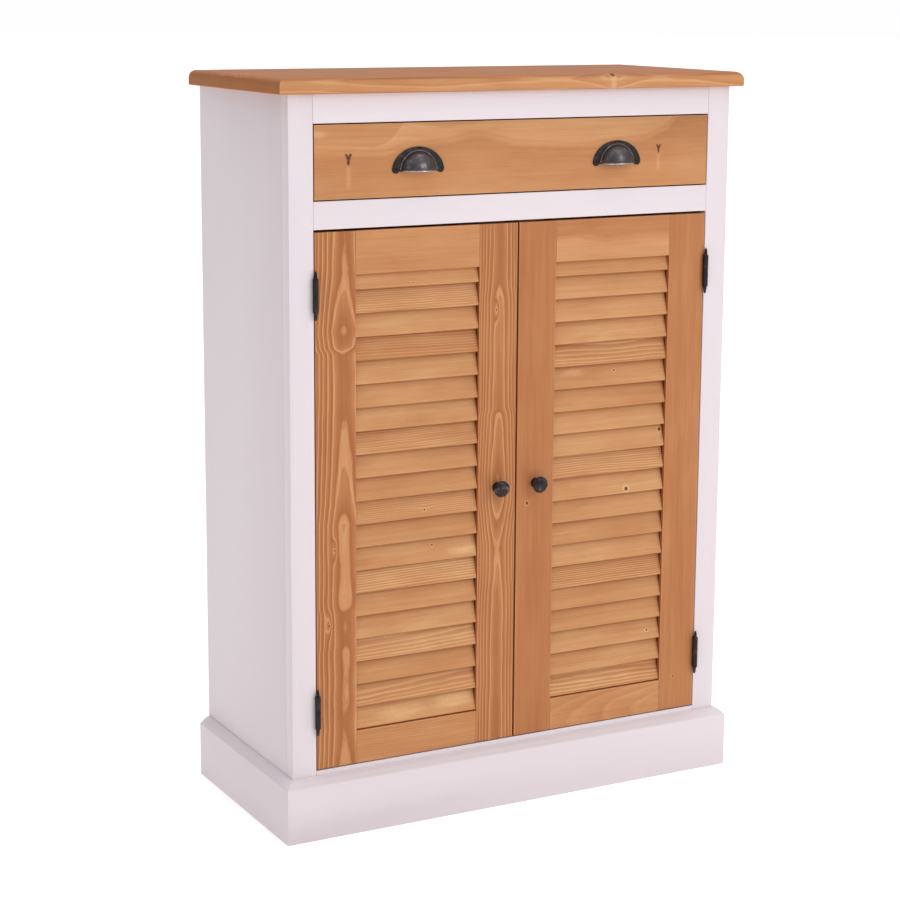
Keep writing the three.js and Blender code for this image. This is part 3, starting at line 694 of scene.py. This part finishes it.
def arc(centre, radius, start, stop, steps):
    return ellipse(radius, radius, start, stop, steps, centre)


def bridge(bm, rings, closed=True):
    """Faces between neighbouring rings of vertices, or open rows. A ring of one vertex is a tip."""
    for below, above in zip(rings, rings[1:]):
        count = max(len(below), len(above))
        for k in range(count if closed else count - 1):
            pair = k, (k + 1) % count
            under, over = ([ring[j % len(ring)] for j in pair] for ring in (below, above))
            bm.faces.new(list(dict.fromkeys([*under, *reversed(over)])))


def add_lathe(bm, profile, place, turn=Matrix.Identity(3), steps=40):
    """Turns (radius, height) points, the first and last on the axis, about +Z at place, then by turn."""
    rings = []
    for radius, height in profile:
        count = 1 if radius == 0 else steps
        ring = []
        for k in range(count):
            angle = math.tau * k / steps
            local = Vector((radius * math.cos(angle), radius * math.sin(angle), height))
            ring.append(bm.verts.new(place + turn @ local))
        rings.append(ring)
    bridge(bm, rings)


def domed_profile(radius, dome, sunk, angles):
    """A lathe profile from below the surface to the top of a round dome. angles are in degrees."""
    turns = [math.radians(a) for a in reversed(angles)]
    curve = [(radius * math.sin(a), dome * math.cos(a)) for a in turns]
    return [(0, -sunk), (radius, -sunk), *curve, (0, dome)]


def add_prism(bm, outline, axis_points):
    """A closed outline of (a, b) points, placed by axis_points(a, b, end) at end 0 and end 1."""
    ends = [[bm.verts.new(axis_points(a, b, end)) for a, b in outline] for end in (0, 1)]
    bridge(bm, ends)
    bm.faces.new(list(reversed(ends[0])))
    bm.faces.new(ends[1])


def add_pierced_plate(bm, outline, hole, axis_points):
    """A closed outline with one hole, as add_prism. Returns the edges of the face at end 1."""
    flat = [[Vector((a, b, 0)) for a, b in loop] for loop in (outline, hole)]
    triangles = geometry.tessellate_polygon(flat)
    points = [*outline, *hole]
    ends = [[bm.verts.new(axis_points(a, b, end)) for a, b in points] for end in (0, 1)]
    for verts in ends:
        for corners in triangles:
            bm.faces.new([verts[c] for c in corners])
    edges = []
    for start, count in ((0, len(outline)), (len(outline), len(hole))):
        for k in range(count):
            a, b = start + k, start + (k + 1) % count
            wall = bm.faces.new((ends[0][a], ends[0][b], ends[1][b], ends[1][a]))
            edges += [e for e in wall.edges if set(e.verts) == {ends[1][a], ends[1][b]}]
    return edges


def add_tube(bm, points, radius, steps=10):
    """A round bar along open points, closed flat at both ends."""
    rings = []
    count = len(points)
    side = Vector((0, 0, 1))
    for k, point in enumerate(points):
        ahead = points[min(k + 1, count - 1)] - points[max(k - 1, 0)]
        ahead.normalize()
        across = ahead.cross(side)
        if across.length < 0.3:
            across = ahead.cross(Vector((0, 1, 0)))
        across.normalize()
        lift = across.cross(ahead)
        ring = []
        for j in range(steps):
            angle = math.tau * j / steps
            ring.append(bm.verts.new(point + radius * (math.cos(angle) * across + math.sin(angle) * lift)))
        rings.append(ring)
        side = lift
    bridge(bm, rings)
    bm.faces.new(list(reversed(rings[0])))
    bm.faces.new(rings[-1])


def finish_mesh(bm, name, material, body, replaces=(), smooth_angle=35):
    bmesh.ops.recalc_face_normals(bm, faces=bm.faces)
    mesh = bpy.data.meshes.new(name)
    bm.to_mesh(mesh)
    bm.free()
    for polygon in mesh.polygons:
        polygon.use_smooth = True
    mesh.set_sharp_from_angle(angle=math.radians(smooth_angle))
    piece = new_object(name, mesh)
    mesh.materials.append(material)
    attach(piece, body)
    if replaces:
        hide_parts(*replaces)
    return piece


def add_screw(bm, place, facing):
    """A countersunk raised head with a crossed recess, facing along a unit vector."""
    turn = facing.to_track_quat("Z", "Y").to_matrix()
    radius = SCREW["radius"]
    head = bmesh.new()
    profile = domed_profile(radius, SCREW["dome"], SCREW["sunk"], (20, 40, 60, 78, 90))
    add_lathe(head, profile, Vector(), steps=24)
    # Press a cross into the dome.
    for vert in head.verts:
        x, y, z = vert.co
        in_cross = math.hypot(x, y) < SCREW["cross"] * radius and min(abs(x), abs(y)) < SCREW["slot"]
        if z > 0 and in_cross:
            vert.co.z -= SCREW["cross_depth"]
    head.transform(Matrix.Translation(place) @ turn.to_4x4())
    mesh = bpy.data.meshes.new("screw_head")
    head.to_mesh(mesh)
    head.free()
    bm.from_mesh(mesh)
    bpy.data.meshes.remove(mesh)


# ---- Slats ----


def slat_section():
    """(y, z) points of one slat, leaning back as it rises, with its lower front edge rounded most."""
    width, thickness, nose, ease = SLAT["width"], SLAT["thickness"], SLAT["nose"], SLAT["ease"]
    flat = [
        *arc((nose, nose), nose, 180, 270, 6),
        *arc((thickness - ease, ease), ease, 270, 360, 3),
        *arc((thickness - ease, width - ease), ease, 0, 90, 3),
        *arc((ease, width - ease), ease, 90, 180, 3),
    ]
    c, s = math.cos(SLAT["tilt"]), math.sin(SLAT["tilt"])
    leaned = [(y * c + z * s, -y * s + z * c) for y, z in flat]
    front = min(y for y, _ in leaned)
    lowest = min(z for _, z in leaned)
    return [(y - front + SLAT["recess"], z - lowest) for y, z in leaned]


def cut_above(outline, ceiling):
    """The part of an outline that lies under a level."""
    kept = []
    for (y0, z0), (y1, z1) in zip(outline, outline[1:] + outline[:1]):
        if z0 <= ceiling:
            kept.append((y0, z0))
        if (z0 - ceiling) * (z1 - ceiling) < 0:
            share = (ceiling - z0) / (z1 - z0)
            kept.append((y0 + share * (y1 - y0), ceiling))
    return kept


def slat_look(draw, lined):
    """Most slats are nearly plain. A lined one shows pale lines where the cut ran along the rings."""
    look = dict(
        pith=(draw.choice((-1, 1)) * draw.uniform(0.08, 0.16), -0.02),
        ring=draw.uniform(1.8, 2.8) * MM,
        figure=draw.uniform(0.12, 0.34),
        lean=(draw.uniform(-0.02, 0.02), 0.0),
        sway=0.012,
    )
    if lined:
        look.update(
            pith=(draw.choice((-1, 1)) * draw.uniform(0.03, 0.05), -0.035),
            ring=draw.uniform(3, 4.4) * MM,
            figure=draw.uniform(0.5, 0.75),
            band=draw.uniform(0.2, 0.45),
        )
    look.update(seed=draw.uniform(0, 60), tone=draw.uniform(0.97, 1.12), cloud=draw.uniform(0.3, 0.6))
    return look


# The slats with pale lines, numbered from the bottom.
LINED_SLATS = {"left": (1, 3, 6, 9, 12, 16, 18), "right": (0, 5, 10, 15)}

# Knots on slats, by door and slat from the bottom: as in STAINED_BOARDS.
SLAT_KNOTS = {
    ("left", 19): (("round", (-0.008, -0.012), 1.3 * MM),),
    ("left", 9): (("round", (0.014, -0.006), 1.6 * MM),),
    ("left", 0): (("patch", (-0.025, 0.0), 11 * MM), ("patch", (0.068, 0.004), 10 * MM)),
    ("left", 7): (("round", (0.030, 0.008), 1.5 * MM), ("patch", (0.09, -0.004), 9 * MM)),
    ("right", 11): (("round", (0.103, 0.010), 2.8 * MM),),
    ("right", 9): (("round", (0.036, -0.010), 3.2 * MM),),
    ("right", 2): (("round", (0.085, -0.002), 1.8 * MM),),
    ("right", 14): (("round", (0.010, 0.006), 1.6 * MM), ("patch", (-0.068, 0.008), 6 * MM)),
}


def make_slats(side):
    door = f"{side}_door"
    stiles = [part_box(f"{door}_{place}_stile") for place in ("hinge", "meeting")]
    left_box, right_box = sorted(stiles, key=lambda box: box[0].x)
    start, stop = left_box[1].x + SLAT["gap"], right_box[0].x - SLAT["gap"]
    face = left_box[0].y
    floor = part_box(f"{door}_bottom_rail")[1].z + SLAT["gap"]
    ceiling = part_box(f"{door}_top_rail")[0].z - SLAT["gap"]
    count = int((ceiling - floor) / SLAT["pitch"]) + 1
    draw = random.Random(40 + SIDES[side])
    section = slat_section()
    for index in range(count):
        lift = floor + index * SLAT["pitch"]
        outline = cut_above(section, ceiling - lift)
        bm = bmesh.new()

        def placed(y, z, end, lift=lift):
            return Vector((stop if end else start, face + y, lift + z))

        add_prism(bm, outline, placed)
        low = Vector((start, face, lift))
        high = Vector((stop, face + SLAT["depth"], lift + SLAT["pitch"]))
        look = slat_look(draw, index in LINED_SLATS[side])
        look["knots"] = SLAT_KNOTS.get((side, index), ())
        name = f"{door}_slat_{index + 1:02d}"
        material = pine_material(f"{name}_pine", "xzy", (low, high), look)
        piece = finish_mesh(bm, name, material, door, [f"{door}_louvres"])


# ---- Cup pulls ----


def cup_flange_outline():
    """The flange seen from the front, as (x, z): an arch with a round ear at each foot."""
    (ear_x, ear_z), ear = CUP["ear"], CUP["ear_radius"]
    a, _, h = CUP["dome"]
    inset = 1 * MM
    meets = math.degrees(math.asin(ear_z / ear))
    return [
        *ellipse(*CUP["arch"], 9, 171, 48),
        *arc((-ear_x, ear_z), ear, 176, 360 - meets, 18),
        *ellipse(a - inset, h - inset, 180, 0, 40),
        *arc((ear_x, ear_z), ear, 180 + meets, 364, 18),
    ]


def make_cup_pull(side):
    node = f"{side}_cup_pull"
    low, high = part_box(node)
    origin = Vector(((low.x + high.x) / 2, high.y, high.z - CUP["arch"][1]))
    a, d, h = CUP["dome"]
    plate = CUP["plate"]

    def placed(x, z, end):
        return origin + Vector((x, -plate * end, z))

    def finish(part_bm, part, material):
        finish_mesh(part_bm, f"{node}_{part}", material, "drawer", [node])

    # Flange, with its front edges rounded and the small hole over the dome.
    flange = bmesh.new()
    hole = arc((0, CUP["hole"][1]), CUP["hole"][0], 360, 15, 23)
    rims = add_pierced_plate(flange, cup_flange_outline(), hole, placed)
    bmesh.ops.bevel(flange, geom=rims, offset=0.6 * MM, segments=3, profile=0.5, affect="EDGES")
    finish(flange, "flange", BLACK)

    # Dome: the quarter of an ellipsoid between the plate and the rim, as a shell.
    bm = bmesh.new()
    steps_x, steps_up = 56, 20

    def dome(shrink):
        rows = []
        for j in range(steps_up + 1):
            rise = math.radians(90 * j / steps_up)
            row = []
            for k in range(1, steps_x):
                swing = math.radians(-90 + 180 * k / steps_x)
                flat = math.cos(swing)
                row.append(bm.verts.new(origin + Vector((
                    (a - shrink) * math.sin(swing),
                    -(d - shrink) * flat * math.cos(rise),
                    (h - shrink) * flat * math.sin(rise),
                ))))
            rows.append(row)
        return rows

    shell = dome(0.0), dome(CUP["wall"])
    for rows in shell:
        bridge(bm, rows, closed=False)
    for end in (0, -1):
        bridge(bm, [rows[end] for rows in shell], closed=False)
        bridge(bm, [[row[end] for row in rows] for rows in shell], closed=False)
    # The dome wears the lighter copy of the black metal, as painted reflection.
    finish(bm, "dome", DOME)

    # A bead where the dome leaves the plate, and a rolled lip along the rim. The bead wears a lighter metal
    # as a painted highlight, and the lip a bright metal as a painted highlight over rubbed-bare wear.
    bead = bmesh.new()
    arch = ellipse(a + 0.6 * MM, h + 0.6 * MM, 4, 176, 56)
    add_tube(bead, [origin + Vector((x, -plate - 0.5 * MM, z)) for x, z in arch], CUP["bead"])
    finish(bead, "bead", EDGE)
    rim = bmesh.new()
    reach = a - 0.8 * MM, d - 0.75 * MM
    lip = [origin + Vector((x, -y, 0.9 * MM)) for x, y in ellipse(*reach, 8, 172, 56)]
    add_tube(rim, lip, CUP["lip"])
    finish(rim, "rim", RIM)

    screws = bmesh.new()
    for s in SIDES.values():
        place = origin + Vector((s * CUP["ear"][0], -plate, CUP["ear"][1]))
        add_screw(screws, place, Vector((0, -1, 0)))
    finish_mesh(screws, f"{node}_screws", BLACK, "drawer")


# ---- Knobs ----


def make_knob(side):
    node = f"{side}_door_knob"
    low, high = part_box(node)
    place = Vector(((low.x + high.x) / 2, high.y, (low.z + high.z) / 2))
    foot, neck = KNOB["foot"], KNOB["neck"]
    r, depth = KNOB["radius"] + 0.25 * MM, KNOB["depth"] - 0.1 * MM
    profile = [
        (0, 0), (foot, 0), (foot, 1.4 * MM), (foot - 0.7 * MM, 2.4 * MM), (neck + 0.8 * MM, 4.2 * MM),
        (neck, 7 * MM), (neck + 0.4 * MM, 9.5 * MM), (neck + 2 * MM, 12 * MM),
        (r - 2.4 * MM, 14.2 * MM), (r - 0.5 * MM, 15.8 * MM),
        (r, 17 * MM), (r, 18.2 * MM), (r - 0.5 * MM, 19.4 * MM), (r - 1.8 * MM, 20.8 * MM),
        (r - 3.6 * MM, 21.7 * MM), (r - 5.6 * MM, 22.2 * MM), (r - 8 * MM, depth - 0.2 * MM),
        (r - 10.5 * MM, depth), (0, depth),
    ]
    bm = bmesh.new()
    add_lathe(bm, profile, Vector(), steps=56)
    for vert in bm.verts:
        if vert.co.z > KNOB["head"] * depth:
            # Hammered: shallow dents, deeper towards the rim.
            cell = noise.noise(vert.co * KNOB["dents"] + Vector((SIDES[side] * 7.3, 2.1, 0.0)))
            dent = KNOB["dent"] * max(0.0, cell + 0.15)
            flat = Vector((vert.co.x, vert.co.y, 0))
            share = min(1.0, flat.length / r)
            inward = flat.normalized() * share * dent if flat.length else Vector()
            vert.co -= inward + Vector((0, 0, 0.5 * dent))
    turn = Vector((0, -1, 0)).to_track_quat("Z", "Y").to_matrix()
    bm.transform(Matrix.Translation(place) @ turn.to_4x4())
    piece = finish_mesh(bm, f"{node}_forged", KNOB_BLACK, f"{side}_door", [node], smooth_angle=50)
    smooth = piece.modifiers.new("smooth", "SUBSURF")
    smooth.levels = smooth.render_levels = 1


# ---- Hinges ----


# Points above a barrel end, as (share of the barrel's radius, share of the finial's height).
FINIALS = {
    "ringed": (
        (0.62, 0.0), (0.66, 0.05), (0.66, 0.17), (0.46, 0.21), (0.46, 0.27), (0.62, 0.31), (0.62, 0.42),
        (0.42, 0.47), (0.42, 0.52), (0.54, 0.57), (0.54, 0.68), (0.36, 0.75), (0.34, 0.88), (0.22, 0.97),
        (0, 1),
    ),
    "plain": (
        (0.66, 0.0), (0.66, 0.18), (0.56, 0.25), (0.60, 0.40), (0.48, 0.68), (0.36, 0.9), (0.2, 0.98),
        (0, 1),
    ),
}


def finial(kind):
    return [(0, 0), *((HINGE["barrel"] * across, HINGE["finial"] * up) for across, up in FINIALS[kind])]


def barrel_profile(bottom, top):
    """A knuckle with a small chamfer and a scored ring near each end."""
    k, edge = HINGE["barrel"], 0.4 * MM
    groove = k - 0.25 * MM
    end = [
        (k - edge, 0), (k, edge), (k, 1.6 * MM), (groove, 1.8 * MM), (groove, 2.2 * MM), (k, 2.4 * MM),
    ]
    lower = [(radius, bottom + rise) for radius, rise in end]
    upper = [(radius, top - rise) for radius, rise in reversed(end)]
    return [(0, bottom), *lower, *upper, (0, top)]


def add_leaf(bm, axis, direction, knuckle):
    """The flat leaf beside the axis plane, and the strap that rolls from it into the knuckle."""
    near, far = HINGE["leaf_inset"], HINGE["leaf_inset"] + HINGE["leaf"]
    half, corner = HINGE["half"], 2.5 * MM
    front, back = HINGE["behind_barrel"], HINGE["leaf_depth"] + HINGE["axis_forward"]
    outline = [
        (front, -half), *arc((back - corner, -half + corner), corner, -90, 0, 5),
        *arc((back - corner, half - corner), corner, 0, 90, 5), (front, half),
    ]

    def placed(y, z, end):
        return axis + Vector((direction * (far if end else near), y, z))

    add_prism(bm, outline, placed)
    start, stop = HINGE["strap_start"], front + HINGE["strap_overlap"]
    low, high = knuckle
    add_prism(bm, [(start, low), (stop, low), (stop, high), (start, high)], placed)


def add_leaf_screws(bm, axis, direction):
    """Three screws down the middle of a leaf, with their heads on the side that faces the gap."""
    middle = HINGE["axis_forward"] + 0.62 * HINGE["leaf_depth"]
    facing = Vector((-direction, 0, 0))
    for share in (-0.66, 0.0, 0.66):
        place = axis + Vector((direction * HINGE["leaf_inset"], middle, share * HINGE["half"]))
        add_screw(bm, place - facing * HINGE["screw_sunk"], facing)


def make_hinge(side, level):
    s = SIDES[side]
    name = f"{side}_{level}_hinge"
    pin_low, pin_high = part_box(f"{name}_pin")
    leaf_low, leaf_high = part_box(f"{name}_frame_leaf")
    axis = Vector((
        (pin_low.x + pin_high.x) / 2, (pin_low.y + pin_high.y) / 2, (leaf_low.z + leaf_high.z) / 2,
    ))
    half, gap = HINGE["half"], HINGE["gap"]
    door = f"{side}_door"

    lower = bmesh.new()
    add_lathe(lower, barrel_profile(-half, -gap), axis)
    add_leaf(lower, axis, s, (-half, -gap))
    add_leaf_screws(lower, axis, s)
    finish_mesh(lower, f"{name}_lower_half", BLACK, "carcass", [f"{name}_frame_leaf"])

    upper = bmesh.new()
    add_lathe(upper, barrel_profile(gap, half), axis)
    add_lathe(upper, finial("ringed"), axis + Vector((0, 0, half)))
    add_leaf(upper, axis, -s, (gap, half))
    add_leaf_screws(upper, axis, -s)
    finish_mesh(upper, f"{name}_upper_half", BLACK, door, [f"{name}_door_leaf"])

    pin = bmesh.new()
    bottom, top = -half - HINGE["pin_drop"], half - HINGE["pin_short"]
    down = Vector((0, 0, -1)).to_track_quat("Z", "Y").to_matrix()
    add_lathe(pin, finial("plain"), axis + Vector((0, 0, bottom)), down)
    add_lathe(pin, [(0, bottom), (HINGE["pin"], bottom), (HINGE["pin"], top), (0, top)], axis)
    finish_mesh(pin, f"{name}_pin_with_finial", BLACK, "carcass", [f"{name}_pin"])


# ---- Catches ----


def dress_catches():
    for side in SIDES:
        door = f"{side}_door"
        catch, strike = NODES[f"{door}_catch"], NODES[f"{door}_strike_plate"]
        wear(catch, PLASTIC)
        ease_edges(catch, 0.8 * MM)
        wear(strike, ZINC)
        ease_edges(strike, 0.3 * MM, 2)
        low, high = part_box(f"{door}_strike_plate")
        middle = (low + high) / 2
        screw = bmesh.new()
        add_screw(screw, Vector((middle.x, high.y - SCREW["sunk"], middle.z)), Vector((0, 1, 0)))
        finish_mesh(screw, f"{door}_strike_screw", ZINC, door)


def make_back_pins():
    """Round-headed pins that hold the back panel in its rebates."""
    low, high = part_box("back_panel")
    inset, end_inset = BACK_PIN["inset"], BACK_PIN["end_inset"]
    bm = bmesh.new()
    rows = int((high.z - low.z) / BACK_PIN["spacing"])
    places = []
    for k in range(rows + 1):
        z = low.z + end_inset + (high.z - low.z - 2 * end_inset) * k / rows
        places += [(low.x + inset, z), (high.x - inset, z)]
    columns = int((high.x - low.x) / BACK_PIN["spacing"])
    for k in range(1, columns):
        x = low.x + (high.x - low.x) * k / columns
        places.append((x, high.z - end_inset))
    profile = domed_profile(BACK_PIN["radius"], BACK_PIN["dome"], BACK_PIN["sunk"], (30, 60, 80, 90))
    outward = Vector((0, 1, 0)).to_track_quat("Z", "Y").to_matrix()
    for x, z in places:
        add_lathe(bm, profile, Vector((x, high.y - 0.5 * MM, z)), outward, steps=12)
    finish_mesh(bm, "back_panel_pins", ZINC, "carcass")


# ---- Stage ----


FLOOR = {"radius": 60.0, "drop": 0.5 * MM}
LIT_POINT = Vector((0, 0, 0.75))


def make_floor():
    bm = bmesh.new()
    bmesh.ops.create_circle(bm, cap_ends=True, segments=96, radius=FLOOR["radius"])
    bmesh.ops.translate(bm, verts=bm.verts, vec=(0, 0, -FLOOR["drop"]))
    mesh = bpy.data.meshes.new("floor")
    bm.to_mesh(mesh)
    bm.free()
    mesh.materials.append(floor_material())
    new_object("floor", mesh)


def add_softbox(name, place, width, power):
    """A square soft light that faces the middle of the cabinet."""
    light = bpy.data.lights.new(name, "AREA")
    light.shape = "RECTANGLE"
    light.size = light.size_y = width
    light.energy = power
    lamp = new_object(name, light)
    lamp.location = place
    lamp.rotation_euler = (LIT_POINT - Vector(place)).to_track_quat("-Z", "Y").to_euler()


def make_lights():
    world = bpy.data.worlds.new("studio")
    bpy.context.scene.world = world
    world.use_nodes = True
    t = Tree(world.node_tree)
    x, _, z = t.split(t.add("ShaderNodeTexCoord").outputs["Generated"])
    # Dimmer on the left and brighter overhead; seen directly, it is the plain white of a studio wall.
    strength = t.times(t.between(x, -0.9, 0.1, 0.22, 0.49), t.between(z, 0.25, 0.9, 1.0, 2.8))
    seen = t.add("ShaderNodeLightPath").outputs["Is Camera Ray"]
    strength = t.math("MAXIMUM", strength, seen)
    background = world.node_tree.nodes["Background"]
    t.feed(background.inputs["Color"], (1.0, 0.99, 1.0))
    t.feed(background.inputs["Strength"], strength)
    add_softbox("key", (1.5, -3.2, 2.25), 1.1, 21.8)
    add_softbox("left", (-2.9, -2.0, 2.25), 1.3, 4.8)


# Where the photographer stood: sideways, back from the front of the face frame, and above the floor.
CAMERA = {
    "place": (-1.7474, -3.0371, 1.3344),
    "turn": (28.15, -10.73, 0.34),  # heading, pitch and roll in degrees
    "lens": 88.2,
    "sensor": 36.0,
    "shift": -0.05,
}


def make_camera():
    data = bpy.data.cameras.new("camera")
    data.sensor_width = CAMERA["sensor"]
    data.lens = CAMERA["lens"]
    data.shift_y = CAMERA["shift"]
    camera = new_object("camera", data)
    x, y, z = CAMERA["place"]
    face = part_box("frame_left_stile")[0].y
    heading, pitch, roll = (math.radians(angle) for angle in CAMERA["turn"])
    forward = Vector((
        math.sin(heading) * math.cos(pitch), math.cos(heading) * math.cos(pitch), math.sin(pitch),
    ))
    right = Vector((math.cos(heading), -math.sin(heading), 0))
    up = right.cross(forward)
    c, s = math.cos(roll), math.sin(roll)
    tilted = Matrix((c * right + s * up, c * up - s * right, -forward)).transposed()
    camera.matrix_world = Matrix.Translation((x, face + y, z)) @ tilted.to_4x4()
    bpy.context.scene.camera = camera


# ---- Assembly ----

make_camera()
make_lights()
make_floor()
dress_boards()
dress_catches()
make_back_pins()
for side in SIDES:
    make_slats(side)
    make_cup_pull(side)
    make_knob(side)
    for level in LEVELS:
        make_hinge(side, level)
bpy.context.scene.view_settings.view_transform = "Standard"
